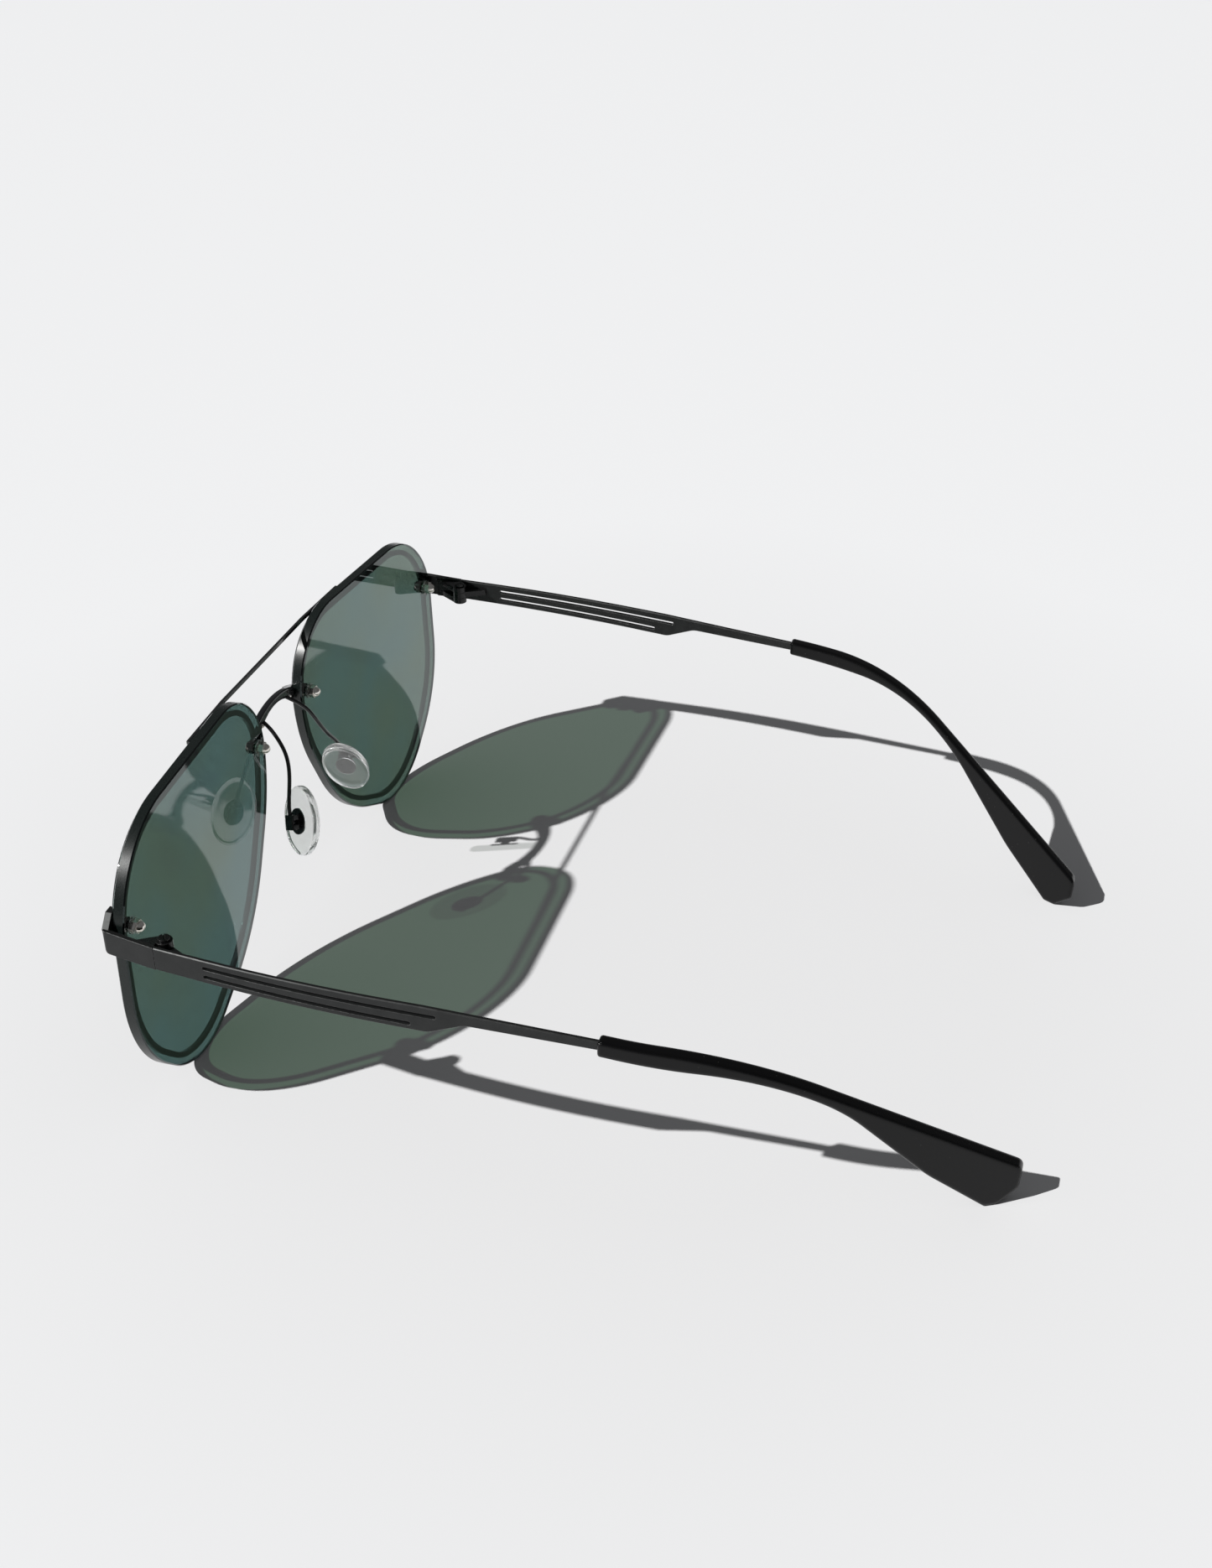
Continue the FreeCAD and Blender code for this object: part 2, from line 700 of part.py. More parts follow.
def make_hinge_screw(side):
    """Slotted screw through the three knuckles."""
    name = "hinge_screw_" + side_name(side)
    body = new_body(name)
    levels = barrel_levels()
    top = levels[2] + size("knuckle_high")
    shank = new_sketch(body, "XY_Plane", name + "_shank", levels[0] + 0.1)
    add_circle(shank, 0, 0, size("hinge_shank_rad"))
    pad(body, shank, top - levels[0], name + "_shank_pad")
    head = new_sketch(body, "XY_Plane", name + "_head", top)
    add_circle(head, 0, 0, size("hinge_head_rad"))
    pad(body, head, "Sizes.hinge_head_high", name + "_head_pad")
    slot = new_sketch(body, "XY_Plane", name + "_slot", top + size("hinge_head_high"))
    add_polygon(slot, [(-1.2, -0.14), (1.2, -0.14), (1.2, 0.14), (-1.2, 0.14)])
    pocket(body, slot, name + "_slot_cut", 0.25)
    base = vec(side * size("hinge_x"), size("hinge_y") + shift(), 0)
    body.Placement = FreeCAD.Placement(base, FreeCAD.Rotation(vec(0, 0, 1), side * 35))
    return body


# ---------------------------------------------------------------- temples

def plan_rows(offset, y_from):
    """Plan line of the temple, moved inwards by an offset, as corner rows."""
    points = [
        vec(size("side_x"), size("seam_y")),
        vec(size("temple_bow_x"), size("temple_bow_y")),
        vec(size("temple_turn_x"), size("temple_turn_y")),
        vec(size("temple_end_x"), size("temple_end_y")),
    ]
    lines = []
    for a, b in zip(points[:-1], points[1:]):
        way = b - a
        way.normalize()
        inward = vec(-way.y, way.x)
        lines.append((a + inward * offset, way))
    first, way = lines[0]
    start = first + way * ((y_from - first.y) / way.y)
    if y_from > size("temple_bow_y"):
        first, way = lines[1]
        start = first + way * ((y_from - first.y) / way.y)
    rows = [(start.x, start.y, 0)]
    radii = [size("temple_bow_rad"), size("temple_turn_rad")]
    bends = [-1, -1]
    for i in range(2):
        p, d = lines[i]
        q, e = lines[i + 1]
        cross = d.x * e.y - d.y * e.x
        step = ((q.x - p.x) * e.y - (q.y - p.y) * e.x) / cross
        corner = p + d * step
        if corner.y > y_from:
            rows.append((corner.x, corner.y, radii[i] - offset))
    last, way = lines[2]
    end = last + way * ((size("temple_end_y") + 6 - last.y) / way.y)
    rows.append((end.x, end.y, 0))
    return rows


def plan_band(sketch, side, outer_offset, inner_offset, y_from):
    """Everything outside a strip that follows the temple's plan line."""
    outer = plan_rows(outer_offset, y_from)
    inner = plan_rows(inner_offset, y_from)
    rows = outer + inner[::-1]
    if side < 0:
        rows = [(-r[0], r[1], r[2]) for r in rows][::-1]
    add_rounded_loop(sketch, rows)
    add_polygon(sketch, [(-120, -40), (120, -40), (120, 190), (-120, 190)])


def make_temple(side):
    """Flat metal bar, wide and slotted in front and narrow behind."""
    name = "temple_" + side_name(side)
    body = new_body(name)
    start = size("seam_y") + size("seam_gap")
    outline = new_sketch(body, "YZ_Plane", name + "_side")
    rows = [
        (start, size("seam_low"), 0),
        (size("wide_end_y") + 0.6, size("wide_end_low"), 3.5),
        (size("thin_start_y"), size("thin_low"), 4.0),
        (size("bar_end_y"), size("bar_end_low"), 0),
        (size("bar_end_y"), size("bar_end_top"), 0),
        (size("wide_end_y"), size("wide_end_top"), 0),
        (start, size("seam_top"), 0),
    ]
    add_rounded_loop(outline, rows)
    pad(body, outline, 200.0, name + "_block", True)
    slots = new_sketch(body, "YZ_Plane", name + "_slots")
    h = size("slot_high")
    a = size("slot_start_y") + h / 2
    add_slot(slots, a, size("slot_a_start_z"), size("slot_a_end_y") - h / 2, size("slot_a_end_z"), h)
    add_slot(slots, a, size("slot_b_start_z"), size("slot_b_end_y") - h / 2, size("slot_b_end_z"), h)
    pocket(body, slots, name + "_slot_cut", None, True)
    band = new_sketch(body, "XY_Plane", name + "_plan")
    plan_band(band, side, 0.0, size("strip_thick"), start - 1.0)
    pocket(body, band, name + "_bend", None, True)
    bevel_long_edges(body, name, 0.16)
    body.Placement = FreeCAD.Placement(vec(0, shift(), 0), FreeCAD.Rotation())
    return body


def bevel_long_edges(body, name, amount):
    """Small bevel on the outer face's top and bottom edges."""
    tip = body.Tip
    names = []
    for index, edge in enumerate(tip.Shape.Edges, start=1):
        faces = tip.Shape.ancestorsOfType(edge, Part.Face)
        box = edge.BoundBox
        long_way = max(box.XLength, box.YLength, box.ZLength)
        if box.YLength > 1.0 and long_way == box.YLength and len(faces) == 2:
            if edge_is_outline(edge, body):
                names.append("Edge%d" % index)
    bevel = body.newObject("PartDesign::Chamfer", name + "_bevel")
    bevel.Base = (tip, names)
    bevel.Size = amount
    doc.recompute()
    if bevel.Shape.isNull() or not bevel.isValid():
        print("bevel skipped", name, len(names))
        body.removeObject(bevel)
        body.Tip = tip
        doc.removeObject(bevel.Name)
        doc.recompute()


def edge_is_outline(edge, body):
    """True for edges on the outer border, not on the slots."""
    middle = edge.valueAt((edge.FirstParameter + edge.LastParameter) / 2)
    y = middle.y
    top = side_top(y)
    low = side_low(y)
    return abs(middle.z - top) < 0.35 or abs(middle.z - low) < 0.35


def side_top(y):
    y0 = size("seam_y") + size("seam_gap")
    y1 = size("wide_end_y")
    if y < y1:
        return size("seam_top") + (y - y0) / (y1 - y0) * (size("wide_end_top") - size("seam_top"))
    y2 = size("bar_end_y")
    return size("wide_end_top") + (y - y1) / (y2 - y1) * (size("bar_end_top") - size("wide_end_top"))


def side_low(y):
    y0 = size("seam_y") + size("seam_gap")
    y1 = size("wide_end_y") + 0.6
    y2 = size("thin_start_y")
    y3 = size("bar_end_y")
    if y < y1:
        return size("seam_low") + (y - y0) / (y1 - y0) * (size("wide_end_low") - size("seam_low"))
    if y < y2:
        return size("wide_end_low") + (y - y1) / (y2 - y1) * (size("thin_low") - size("wide_end_low"))
    return size("thin_low") + (y - y2) / (y3 - y2) * (size("bar_end_low") - size("thin_low"))


# Temple tip in side view: distance back, height, corner radius.
TIP = [
    (85.3, 35.45, 0.5),
    (115.2, 32.4, 36.0),
    (134.7, 8.7, 22.0),
    (143.8, 0.0, 0.6),
    (146.0, 0.0, 1.0),
    (149.1, 3.1, 1.6),
    (149.4, 7.2, 2.0),
    (107.6, 36.4, 48.0),
    (85.3, 38.3, 0.5),
]


def make_temple_tip(side):
    """Moulded tip: oval at its collar, a flat slanted paddle at its end."""
    name = "temple_tip_" + side_name(side)
    body = new_body(name)
    outline = new_sketch(body, "YZ_Plane", name + "_side")
    add_rounded_loop(outline, TIP)
    pad(body, outline, 200.0, name + "_block", True)
    band = new_sketch(body, "XY_Plane", name + "_plan")
    extra = (size("tip_thick") - size("strip_thick")) / 2
    plan_band(band, side, -extra, size("strip_thick") + extra, size("tip_start_y") - 2.0)
    pocket(body, band, name + "_bend", None, True)
    round_tip(body, name)
    body.Placement = FreeCAD.Placement(vec(0, shift(), 0), FreeCAD.Rotation())
    return body


def round_tip(body, name):
    """Rounds the long edges of the tip."""
    tip = body.Tip
    names = []
    for index, edge in enumerate(tip.Shape.Edges, start=1):
        box = edge.BoundBox
        across = 0.0
        start = edge.valueAt(edge.FirstParameter)
        end = edge.valueAt(edge.LastParameter)
        flat = abs(start.y - end.y) < 1e-3 and abs(start.z - end.z) < 1e-3
        tiny = abs(start.x - end.x) > 2.0 and box.YLength < 1.3 and box.ZLength < 0.6
        if flat or tiny or edge_across(edge):
            continue
        names.append("Edge%d" % index)
    for amount in (size("tip_round"), 0.6, 0.45, 0.3, 0.2):
        soft = body.newObject("PartDesign::Fillet", name + "_round")
        soft.Base = (tip, names)
        soft.Radius = amount
        doc.recompute()
        if not soft.Shape.isNull() and soft.isValid() and soft.Shape.isValid():
            print("tip rounded", name, amount)
            return
        body.removeObject(soft)
        body.Tip = tip
        doc.removeObject(soft.Name)
        doc.recompute()
    print("tip not rounded", name)


def edge_across(edge):
    """True for the short edges that run through the tip's thickness."""
    start = edge.valueAt(edge.FirstParameter)
    end = edge.valueAt(edge.LastParameter)
    way = end - start
    return abs(way.x) > 1.8 and edge.Length < size("tip_thick") + 0.7


# ---------------------------------------------------------------- nose pads

def pad_frame(side):
    """Pivot frame: y towards the nose, z up the pad, x across it."""
    splay = math.radians(size("pad_splay"))
    flare = math.radians(size("pad_flare"))
    up = vec(-math.sin(splay), -0.43 * math.sin(splay), math.cos(splay))
    up.normalize()
    face = vec(-math.cos(flare), math.sin(flare), 0)
    face = face - up * face.dot(up)
    face.normalize()
    if side < 0:
        up = vec(-up.x, up.y, up.z)
        face = vec(-face.x, face.y, face.z)
    across = face.cross(up)
    turn = FreeCAD.Rotation(across, face, up, "ZYX")
    base = vec(side * size("pad_x"), size("pad_y") + shift(), size("pad_z"))
    return FreeCAD.Placement(base, turn)


def make_pad_box(side):
    """Small housing at the end of the arm, slotted for the pad's lug."""
    name = "pad_box_" + side_name(side)
    body = new_body(name)
    w, d, h = size("box_wide"), size("box_deep"), size("box_high")
    block = new_sketch(body, "XY_Plane", name + "_block", -h / 2)
    rows = [(-w / 2, -d / 2, 0.5), (w / 2, -d / 2, 0.5), (w / 2, d / 2, 0.2), (-w / 2, d / 2, 0.2)]
    add_rounded_loop(block, rows)
    pad(body, block, "Sizes.box_high", name + "_pad")
    gap = new_sketch(body, "XY_Plane", name + "_gap", -size("box_slot") / 2)
    add_polygon(gap, [(-w, -d / 2 + 0.2), (w, -d / 2 + 0.2), (w, d), (-w, d)])
    pocket(body, gap, name + "_gap_cut", "Sizes.box_slot", False, True)
    bore = new_sketch(body, "XY_Plane", name + "_bore")
    add_circle(bore, 0, 0, size("pin_rad") + 0.01)
    pocket(body, bore, name + "_bore_cut", None, True)
    body.Placement = pad_frame(side)
    return body


def make_pad_pin(side):
    """Pin the pad rocks on."""
    name = "pad_pin_" + side_name(side)
    body = new_body(name)
    shank = new_sketch(body, "XY_Plane", name + "_shank", -size("box_high") / 2)
    add_circle(shank, 0, 0, size("pin_rad"))
    pad(body, shank, "Sizes.box_high - 0.5", name + "_pad")
    body.Placement = pad_frame(side)
    return body


def make_pad_plate(side):
    """Oval metal plate set in the pad's back, with the lug on the pin."""
    name = "pad_plate_" + side_name(side)
    body = new_body(name)
    lug = new_sketch(body, "XY_Plane", name + "_lug", -size("box_slot") / 2 + 0.06)
    add_circle(lug, 0, 0, 0.62)
    pad(body, lug, size("box_slot") - 0.12, name + "_lug_pad")
    neck = new_sketch(body, "XY_Plane", name + "_neck", -size("box_slot") / 2 + 0.06)
    add_polygon(neck, [(-0.5, 0), (0.5, 0), (0.5, 1.5), (-0.5, 1.5)])
    pad(body, neck, size("box_slot") - 0.12, name + "_neck_pad")
    disc = new_sketch(body, "XZ_Plane", name + "_disc", -size("pad_back") + 0.2)
    disc.addGeometry(Part.Ellipse(vec(0, 0), size("plate_long") / 2, size("plate_wide") / 2), False)
    disc.AttachmentOffset = FreeCAD.Placement(
        vec(0, 0, -size("pad_back") + 0.2), FreeCAD.Rotation(vec(0, 0, 1), 90))
    pad(body, disc, "Sizes.plate_thick", name + "_disc_pad", False, True)
    bore = new_sketch(body, "XY_Plane", name + "_bore")
    add_circle(bore, 0, 0, size("pin_bore_rad"))
    pocket(body, bore, name + "_bore_cut", None, True)
    body.Placement = pad_frame(side)
    return body


def make_nose_pad(side):
    """Clear soft pad with rounded edges and a seat for the plate."""
    name = "nose_pad_" + side_name(side)
    body = new_body(name)
    back = size("pad_back")
    face = new_sketch(body, "XZ_Plane", name + "_face")
    face.addGeometry(Part.Ellipse(vec(0, 0), size("pad_long") / 2, size("pad_wide") / 2), False)
    face.AttachmentOffset = FreeCAD.Placement(vec(0, 0, -back), FreeCAD.Rotation(vec(0, 0, 1), 90))
    pad(body, face, "Sizes.pad_thick", name + "_pad", False, True)
    tip = body.Tip
    names = []
    for index, edge in enumerate(tip.Shape.Edges, start=1):
        box = edge.BoundBox
        if box.YLength < 1e-3:
            names.append("Edge%d" % index)
    soft = body.newObject("PartDesign::Fillet", name + "_round")
    soft.Base = (tip, names)
    soft.setExpression("Radius", "Sizes.pad_round")
    doc.recompute()
    seat = new_sketch(body, "XZ_Plane", name + "_seat")
    seat.addGeometry(Part.Ellipse(vec(0, 0), size("plate_long") / 2 + 0.02, size("plate_wide") / 2 + 0.02), False)
    seat.AttachmentOffset = FreeCAD.Placement(vec(0, 0, -back), FreeCAD.Rotation(vec(0, 0, 1), 90))
    depth = 0.2 + size("plate_thick") - 0.4
    before = body.Shape.Volume
    cut = pocket(body, seat, name + "_seat_cut", 0.32)
    if before - body.Shape.Volume < 0.5:
        cut.Reversed = not cut.Reversed
        doc.recompute()
    body.Placement = pad_frame(side)
    return body


def make_pad_arm(side):
    """Round wire from the bridge end, back and down to the pad box."""
    frame = pad_frame(side)
    last = frame.multVec(vec(0, -0.35, size("box_high") / 2 - 0.3))
    above = frame.multVec(vec(0, -0.4, size("box_high") / 2 + 2.2))
    y0 = shift()
    points = [
        vec(side * 4.9, y0 + 0.0, 45.2),
        vec(side * 5.4, y0 + 1.7, 44.2),
        vec(side * 6.2, y0 + 3.7, 42.4),
        vec(side * 6.8, y0 + 5.2, 39.9),
        vec(side * 8.6, y0 + 6.4, 36.0),
        above,
        last,
    ]
    curve = Part.BSplineCurve()
    curve.interpolate(points)
    path = Part.Wire([curve.toShape()])
    start_way = curve.tangent(curve.FirstParameter)[0]
    ring = Part.Wire([Part.Circle(points[0], start_way, size("arm_rad")).toShape()])
    shape = path.makePipeShell([ring], True, False)
    arm = doc.addObject("Part::Feature", "pad_arm_" + side_name(side))
    arm.Shape = shape
    arm.Placement = FreeCAD.Placement()
    arm.Label = "pad_arm_" + side_name(side)
    return arm


# ---------------------------------------------------------------- build

nodes = []
for side in (1, -1):
    nodes.append(make_rim(side))
    nodes.append(make_lens(side))
    nodes.append(make_end_piece(side))
    nodes.append(make_front_hinge(side))
    nodes.append(make_hinge_screw(side))
    nodes.append(make_temple_hinge(side))
    nodes.append(make_temple(side))
    nodes.append(make_temple_tip(side))
    nodes.append(make_pad_arm(side))
    nodes.append(make_pad_box(side))
    nodes.append(make_pad_pin(side))
    nodes.append(make_pad_plate(side))
    nodes.append(make_nose_pad(side))
nodes.append(make_bridge())
nodes.append(make_bridge_rivets())
nodes.append(make_brow_bar())
nodes.append(make_lens_screws())
nodes.append(make_washers())
nodes.append(make_nuts())
doc.recompute()

for item in doc.Objects:
    if "Invalid" in item.State or "Error" in item.State:
        raise RuntimeError("bad state: " + item.Name)
os.makedirs("parts", exist_ok=True)
for node in nodes:
    shape = node.Shape
    if shape.isNull() or not shape.isValid():
        raise RuntimeError("bad shape: " + node.Label)
    box = shape.optimalBoundingBox(False, False)
    print("%-20s solids %d vol %9.3f  x %.2f %.2f  y %.2f %.2f  z %.2f %.2f" % (
        node.Label, len(shape.Solids), shape.Volume,
        box.XMin, box.XMax, box.YMin, box.YMax, box.ZMin, box.ZMax))
    shape.exportStep("parts/%s.step" % node.Label)
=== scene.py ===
"""Looks for the double bridge aviator sunglasses: materials, table, light and camera."""

import math

import bpy
from mathutils import Matrix, Vector


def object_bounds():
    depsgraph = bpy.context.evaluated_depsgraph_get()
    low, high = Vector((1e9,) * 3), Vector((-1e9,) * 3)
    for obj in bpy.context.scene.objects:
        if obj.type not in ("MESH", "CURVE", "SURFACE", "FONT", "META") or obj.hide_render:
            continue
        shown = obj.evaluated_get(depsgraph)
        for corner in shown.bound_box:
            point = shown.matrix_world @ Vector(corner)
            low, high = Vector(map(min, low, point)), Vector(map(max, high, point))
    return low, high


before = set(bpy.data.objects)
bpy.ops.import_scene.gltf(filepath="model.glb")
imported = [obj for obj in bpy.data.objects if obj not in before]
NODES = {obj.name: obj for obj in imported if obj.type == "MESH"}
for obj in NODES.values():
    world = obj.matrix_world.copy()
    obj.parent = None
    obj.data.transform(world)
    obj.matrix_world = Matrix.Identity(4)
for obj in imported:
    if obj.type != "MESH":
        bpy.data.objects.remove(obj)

MM = 0.001
CAD_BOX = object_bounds()


# ---------------------------------------------------------------- node helpers


class Tree:
    """A material's node tree with short calls for the nodes used here.

    Patterns read object coordinates, in metres.
    """

    def __init__(self, name):
        self.mat = bpy.data.materials.new(name)
        self.mat.use_nodes = True
        self.nodes = self.mat.node_tree.nodes
        self.links = self.mat.node_tree.links
        self.nodes.clear()
        self.out = self.nodes.new("ShaderNodeOutputMaterial")
        places = self.nodes.new("ShaderNodeTexCoord")
        self.coord = places.outputs["Object"]
        self.facing = places.outputs["Normal"]

    def feed(self, socket, value):
        if isinstance(value, bpy.types.NodeSocket):
            self.links.new(value, socket)
        elif isinstance(value, (tuple, list)) and len(value) == 3 and socket.type == "RGBA":
            socket.default_value = (*value, 1)
        else:
            socket.default_value = value

    def add(self, kind, settings=None, **sockets):
        made = self.nodes.new(kind)
        for key, value in (settings or {}).items():
            setattr(made, key, value)
        for key, value in sockets.items():
            self.feed(made.inputs[key.replace("_", " ")], value)
        return made

    def stretched(self, scale):
        return self.add("ShaderNodeMapping", Vector=self.coord, Scale=scale).outputs[0]

    def noise(self, per_mm, detail=3.0, rough=0.5, stretch=(1, 1, 1)):
        """Fractal noise, per_mm features in a millimetre. A stretch under 1 makes them longer."""
        place = self.stretched([s * per_mm * 1000 for s in stretch])
        node = self.add("ShaderNodeTexNoise", Vector=place, Scale=1.0, Detail=detail, Roughness=rough)
        return node.outputs[0]

    def cells(self, per_mm):
        """Distance to the nearest of scattered points, per_mm of them in each millimetre."""
        place = self.stretched([per_mm * 1000] * 3)
        node = self.add("ShaderNodeTexVoronoi", {"feature": "F1"}, Vector=place, Scale=1.0)
        return node.outputs["Distance"]

    def span(self, value, low, high, to_low, to_high):
        node = self.add("ShaderNodeMapRange", {"clamp": True}, Value=value)
        ends = (("From Min", low), ("From Max", high), ("To Min", to_low), ("To Max", to_high))
        for key, number in ends:
            node.inputs[key].default_value = number
        return node.outputs[0]

    def maths(self, operation, a, b=0.0):
        node = self.add("ShaderNodeMath", {"operation": operation})
        self.feed(node.inputs[0], a)
        self.feed(node.inputs[1], b)
        return node.outputs[0]

    def blend(self, share, a, b):
        node = self.add("ShaderNodeMix", {"data_type": "RGBA"})
        self.feed(node.inputs["Factor"], share)
        self.feed(node.inputs[6], a)
        self.feed(node.inputs[7], b)
        return node.outputs[2]

    def bump(self, height, depth_mm, strength=1.0, normal=None):
        node = self.add("ShaderNodeBump", Height=height, Strength=strength, Distance=depth_mm * MM)
        if normal is not None:
            self.feed(node.inputs["Normal"], normal)
        return node.outputs[0]

    def round_edges(self, radius_mm):
        return self.add("ShaderNodeBevel", {"samples": 6}, Radius=radius_mm * MM).outputs[0]

    def worn_edges(self, radius_mm):
        """1 on sharp edges and 0 on flats."""
        bent = self.round_edges(radius_mm)
        flat = self.add("ShaderNodeNewGeometry").outputs["Normal"]
        dot = self.add("ShaderNodeVectorMath", {"operation": "DOT_PRODUCT"})
        self.feed(dot.inputs[0], bent)
        self.feed(dot.inputs[1], flat)
        return self.span(dot.outputs["Value"], 0.97, 0.80, 0.0, 1.0)

    def lamp_or_table(self):
        """1 for light on its way to the table or back from it, so that a clear piece tints its shadow."""
        path = self.add("ShaderNodeLightPath")
        return self.maths("MAXIMUM", path.outputs["Is Shadow Ray"], path.outputs["Is Diffuse Ray"])

    def mixed(self, share, first, second):
        """Shader mix: first where share is 0, second where it is 1."""
        node = self.add("ShaderNodeMixShader")
        for place, value in enumerate((share, first.outputs[0], second.outputs[0])):
            self.feed(node.inputs[place], value)
        return node

    def show(self, shader):
        self.feed(self.out.inputs["Surface"], shader.outputs[0])

    def principled(self, **sockets):
        node = self.add("ShaderNodeBsdfPrincipled", **sockets)
        self.links.new(node.outputs[0], self.out.inputs["Surface"])
        return node


def paint(name, deep, light, rough, metallic, coat, grain, wear, worn, stretch=(1, 1, 1), edge=0.12):
    """Painted metal: colour mottled from deep to light, fine grain in the lacquer, and paler rubbed edges."""
    t = Tree(name)
    cloud = t.noise(0.35, 4, 0.6)
    fine = t.noise(grain, 4, 0.6, stretch)
    colour = t.blend(t.span(cloud, 0.35, 0.65, 0, 1), deep, light)
    rubbed = t.maths("MULTIPLY", t.worn_edges(edge), t.span(t.noise(2.2, 3), 0.40, 0.62, 0.15, worn))
    colour = t.blend(rubbed, colour, wear)
    roughness = t.span(t.maths("ADD", fine, t.maths("MULTIPLY", cloud, 0.5)), 0.55, 0.95, rough[0], rough[1])
    normal = t.bump(fine, 0.004, 0.35, t.round_edges(edge))
    t.principled(
        Base_Color=colour, Metallic=metallic, Roughness=roughness, IOR=1.5,
        Coat_Weight=coat, Coat_Roughness=0.06, Normal=normal,
    )
    return t.mat


def lens_glass():
    """Green sun lens with a ground dark edge. Lamps pass through with its tint: its shadow is green."""
    t = Tree("lens_glass")
    smear = t.noise(0.09, 5, 0.62, (1, 1, 2.5))
    dust = t.span(t.cells(0.55), 0.0, 0.045, 1, 0)
    film = t.span(smear, 0.45, 0.75, 0.0, 1.0)
    drift = t.span(t.noise(0.035, 2), 0.38, 0.62, 0, 1)
    colour = t.blend(drift, (0.079, 0.127, 0.096), (0.070, 0.134, 0.128))
    colour = t.blend(t.maths("MULTIPLY", dust, 0.4), colour, (0.4, 0.45, 0.42))
    rough = t.maths("ADD", t.span(film, 0, 1, 0.008, 0.03), t.maths("MULTIPLY", dust, 0.3))
    look = t.principled(
        Base_Color=colour, Roughness=rough, IOR=1.5, Transmission_Weight=1.0,
        Coat_Weight=0.15, Coat_Roughness=0.02, Specular_Tint=(0.80, 1.0, 0.98),
        Normal=t.bump(film, 0.002, 0.2),
    )
    clear = t.add("ShaderNodeBsdfTransparent", Color=(0.19, 0.28, 0.21))
    face = t.mixed(t.lamp_or_table(), look, clear)
    grind = t.noise(9.0, 3, 0.6)
    ground = t.blend(t.span(grind, 0.35, 0.65, 0, 1), (0.004, 0.0065, 0.006), (0.009, 0.013, 0.012))
    edge = t.add(
        "ShaderNodeBsdfPrincipled", Base_Color=ground,
        Roughness=t.span(grind, 0.3, 0.7, 0.20, 0.34), IOR=1.42, Normal=t.bump(grind, 0.002, 0.15),
    )
    parts = t.add("ShaderNodeSeparateXYZ", Vector=t.facing)
    side = t.span(t.maths("ABSOLUTE", parts.outputs["Y"]), 0.55, 0.62, 1, 0)
    t.show(t.mixed(side, face, edge))
    return t.mat


def clear_soft(name, colour, rough, shade):
    """Clear silicone or plastic, a little milky inside, with fine marks."""
    t = Tree(name)
    cloud = t.noise(0.8, 4, 0.6)
    marks = t.noise(5.0, 3, 0.6, (1, 0.3, 1))
    tint = t.blend(t.span(cloud, 0.4, 0.65, 0, 1), colour, tuple(c * 0.94 for c in colour))
    look = t.principled(
        Base_Color=tint, Roughness=t.span(marks, 0.4, 0.7, rough[0], rough[1]), IOR=1.41,
        Transmission_Weight=0.92, Coat_Weight=0.3, Coat_Roughness=0.05, Normal=t.bump(marks, 0.004, 0.3),
    )
    clear = t.add("ShaderNodeBsdfTransparent", Color=shade)
    t.show(t.mixed(t.lamp_or_table(), look, clear))
    return t.mat


def polished(name, low, high, rough):
    """Bright plated metal with turning marks and a little tarnish."""
    t = Tree(name)
    tarnish = t.span(t.noise(1.5, 4, 0.6), 0.4, 0.7, 0, 1)
    turned = t.noise(14, 2, 0.5)
    t.principled(
        Base_Color=t.blend(tarnish, high, low), Metallic=1.0,
        Roughness=t.span(tarnish, 0, 1, rough[0], rough[1]),
        Normal=t.bump(turned, 0.003, 0.3, t.round_edges(0.08)),
    )
    return t.mat


def tip_plastic():
    """Glossy black plastic with polishing ripple, faint smudges and a few dust specks."""
    t = Tree("tip_black")
    ripple = t.noise(0.25, 2, 0.5)
    smudge = t.span(t.noise(0.12, 5, 0.65), 0.5, 0.72, 0, 1)
    dust = t.span(t.cells(0.75), 0.0, 0.06, 1, 0)
    colour = t.blend(t.maths("MULTIPLY", dust, 0.5), (0.0022, 0.0022, 0.0024), (0.20, 0.20, 0.19))
    rough = t.maths("ADD", t.span(smudge, 0, 1, 0.10, 0.2), t.maths("MULTIPLY", dust, 0.4))
    height = t.maths("ADD", ripple, t.maths("MULTIPLY", dust, 0.6))
    t.principled(
        Base_Color=colour, Roughness=rough, IOR=1.42, Specular_IOR_Level=0.3,
        Normal=t.bump(height, 0.01, 0.25, t.round_edges(0.9)),
    )
    return t.mat


# Table tints by the glasses and further out; the darker near tint is painted shade, not the table's own
# colour.
TABLE_NEAR_SHADED, TABLE_FAR = (0.80, 0.802, 0.812), (0.868, 0.875, 0.890)


def table_top():
    """Matt white table, painted darker near the glasses and paler further out (painted shade, a falloff of
    light put into its colour), with a faint large mottle in where the ramp falls.
    """
    t = Tree("table_top")
    broad = t.noise(0.004, 3, 0.5)
    fine = t.noise(1.2, 3, 0.6)
    away = t.add("ShaderNodeVectorMath", {"operation": "LENGTH"}, Vector=t.coord).outputs["Value"]
    reach = t.maths("ADD", away, t.span(broad, 0.3, 0.7, -0.012, 0.012))
    # Painted shade: the colour ramps from the darker near tint by the glasses to the paler far tint further
    # out.
    colour = t.blend(t.span(reach, 0.06, 0.20, 0, 1), TABLE_NEAR_SHADED, TABLE_FAR)
    t.principled(Base_Color=colour, Roughness=0.85, Specular_IOR_Level=0.2, Normal=t.bump(fine, 0.01, 0.15))
    return t.mat


# ---------------------------------------------------------------- materials on the CAD nodes

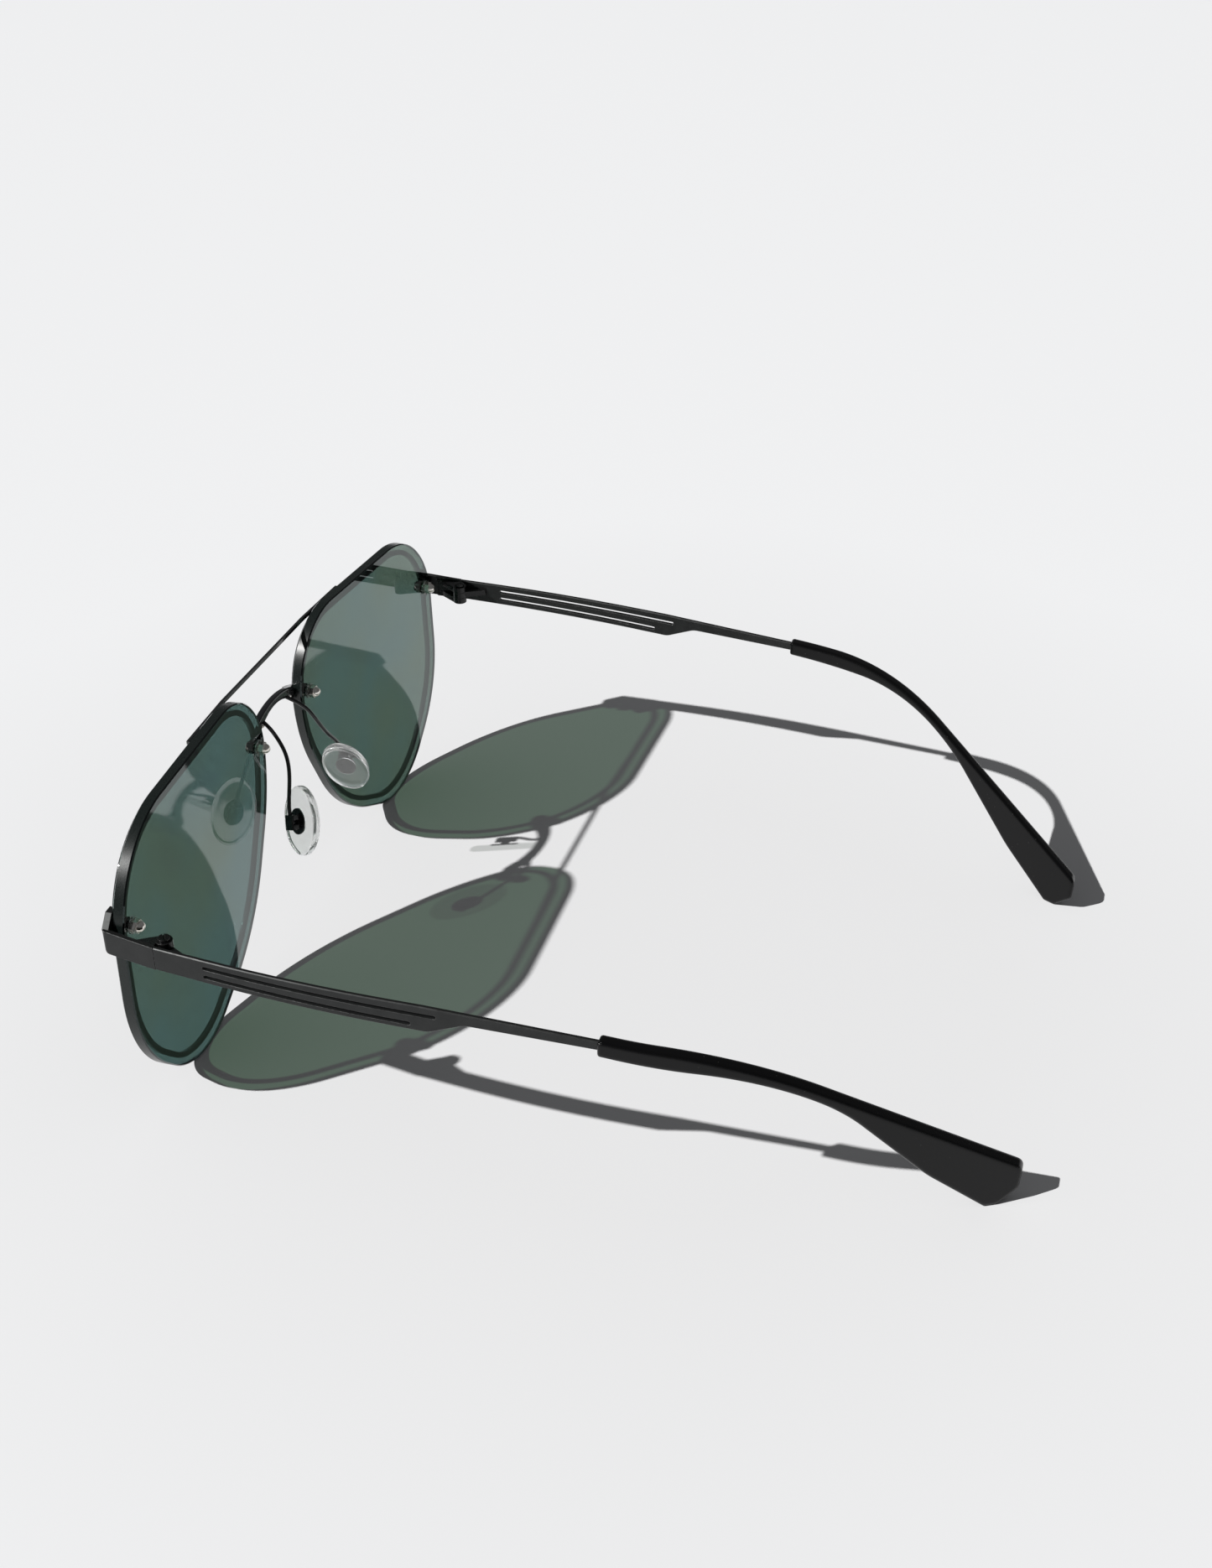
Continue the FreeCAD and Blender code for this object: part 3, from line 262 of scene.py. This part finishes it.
enamel = paint(
    "front_enamel", (0.004, 0.0045, 0.005), (0.008, 0.0085, 0.0095), rough=(0.10, 0.24), metallic=0.0,
    coat=0.6, grain=3.0, wear=(0.10, 0.105, 0.11), worn=0.35,
)
satin = paint(
    "temple_satin", (0.019, 0.020, 0.020), (0.025, 0.026, 0.026), rough=(0.30, 0.46), metallic=0.6,
    coat=0.0, grain=9.0, wear=(0.30, 0.30, 0.30), worn=0.6, stretch=(1, 0.12, 1),
)
black_metal = paint(
    "hinge_black", (0.006, 0.006, 0.0065), (0.012, 0.012, 0.0125), rough=(0.20, 0.38), metallic=0.4,
    coat=0.1, grain=6.0, wear=(0.2, 0.19, 0.18), worn=0.5,
)
wire_black = paint(
    "wire_black", (0.005, 0.005, 0.0055), (0.009, 0.009, 0.0095), rough=(0.16, 0.3), metallic=0.2,
    coat=0.3, grain=5.0, wear=(0.12, 0.12, 0.12), worn=0.3, edge=0.05,
)
silver = polished("nut_silver", (0.62, 0.57, 0.48), (0.90, 0.88, 0.84), (0.10, 0.24))
glass = lens_glass()
washer = clear_soft("washer_clear", (0.80, 0.82, 0.80), (0.15, 0.3), (0.7, 0.72, 0.7))
silicone = clear_soft("pad_silicone", (0.93, 0.94, 0.93), (0.06, 0.16), (0.80, 0.81, 0.80))
plastic = tip_plastic()

FINISH = {
    "rim": enamel, "lens": glass, "brow": enamel, "bridge_": silver, "bridge": enamel,
    "end_piece": satin, "front_hinge": black_metal, "hinge_screw": black_metal, "temple_hinge": black_metal,
    "temple_tip": plastic, "temple": satin, "pad_arm": wire_black, "pad_box": black_metal, "pad_pin": silver,
    "pad_plate": black_metal, "nose_pad": silicone, "lens_screws": black_metal, "lens_washers": washer,
    "lens_nuts": silver,
}


def finish_for(node):
    """The longest name in FINISH that the node's name starts with."""
    return FINISH[max((key for key in FINISH if node.startswith(key)), key=len)]


for name, obj in NODES.items():
    material = finish_for(name)
    if not obj.material_slots:
        obj.data.materials.append(material)
    for place in obj.material_slots:
        place.material = material


# ---------------------------------------------------------------- floor, light, camera

TABLE_SIZE = 12.0
SUN_WAY = Vector((-0.738, 0.869, -1.0))  # the way the light travels
SUN_ENERGY, SUN_ANGLE, SUN_COLOUR = 4.3, math.radians(0.8), (1.0, 0.995, 0.985)
FILL_COLOUR, FILL_STRENGTH = (0.97, 0.98, 1.0, 1), 0.115
BACKDROP_COLOUR = (0.87, 0.88, 0.90, 1)
AZIMUTH, ELEVATION, ROLL = math.radians(107.5), math.radians(32.1), math.radians(-0.61)
AIM_OFFSET, DISTANCE = Vector((-0.0032, -0.0092, 0.0092)), 0.356
SENSOR_HEIGHT, FOCAL_LENGTH = 36, 44.46

low, high = (Vector(c) for c in CAD_BOX)
middle = (low + high) / 2

bpy.ops.mesh.primitive_plane_add(size=TABLE_SIZE, location=(middle.x, middle.y, low.z))
floor = bpy.context.object
floor.name = "table"
floor.data.materials.append(table_top())

sun = bpy.data.lights.new("key", "SUN")
sun.energy, sun.angle, sun.color = SUN_ENERGY, SUN_ANGLE, SUN_COLOUR
key = bpy.data.objects.new("key", sun)
key.rotation_euler = SUN_WAY.to_track_quat("-Z", "Y").to_euler()
bpy.context.scene.collection.objects.link(key)

world = bpy.data.worlds.new("room")
bpy.context.scene.world = world
world.use_nodes = True
wn, wl = world.node_tree.nodes, world.node_tree.links
wn.clear()
fill = wn.new("ShaderNodeBackground")
fill.inputs["Color"].default_value = FILL_COLOUR
fill.inputs["Strength"].default_value = FILL_STRENGTH
backdrop = wn.new("ShaderNodeBackground")
backdrop.inputs["Color"].default_value = BACKDROP_COLOUR
path = wn.new("ShaderNodeLightPath")
seen = wn.new("ShaderNodeMath")
seen.operation = "MAXIMUM"
wl.new(path.outputs["Is Camera Ray"], seen.inputs[0])
wl.new(path.outputs["Is Transmission Ray"], seen.inputs[1])
mix = wn.new("ShaderNodeMixShader")
wl.new(seen.outputs[0], mix.inputs[0])
wl.new(fill.outputs[0], mix.inputs[1])
wl.new(backdrop.outputs[0], mix.inputs[2])
wl.new(mix.outputs[0], wn.new("ShaderNodeOutputWorld").inputs["Surface"])

level = math.cos(ELEVATION)
back = Vector((math.sin(AZIMUTH) * level, -math.cos(AZIMUTH) * level, math.sin(ELEVATION)))
camera = bpy.data.cameras.new("camera")
camera.sensor_fit = "VERTICAL"
camera.sensor_height = SENSOR_HEIGHT
camera.lens = FOCAL_LENGTH
camera.clip_start = 0.01
camera.dof.use_dof = False
eye = bpy.data.objects.new("camera", camera)
turn = back.to_track_quat("Z", "Y").to_matrix() @ Matrix.Rotation(ROLL, 3, "Z")
eye.matrix_world = Matrix.Translation(middle + AIM_OFFSET + back * DISTANCE) @ turn.to_4x4()
bpy.context.scene.collection.objects.link(eye)
bpy.context.scene.camera = eye
bpy.context.scene.view_settings.view_transform = "Standard"
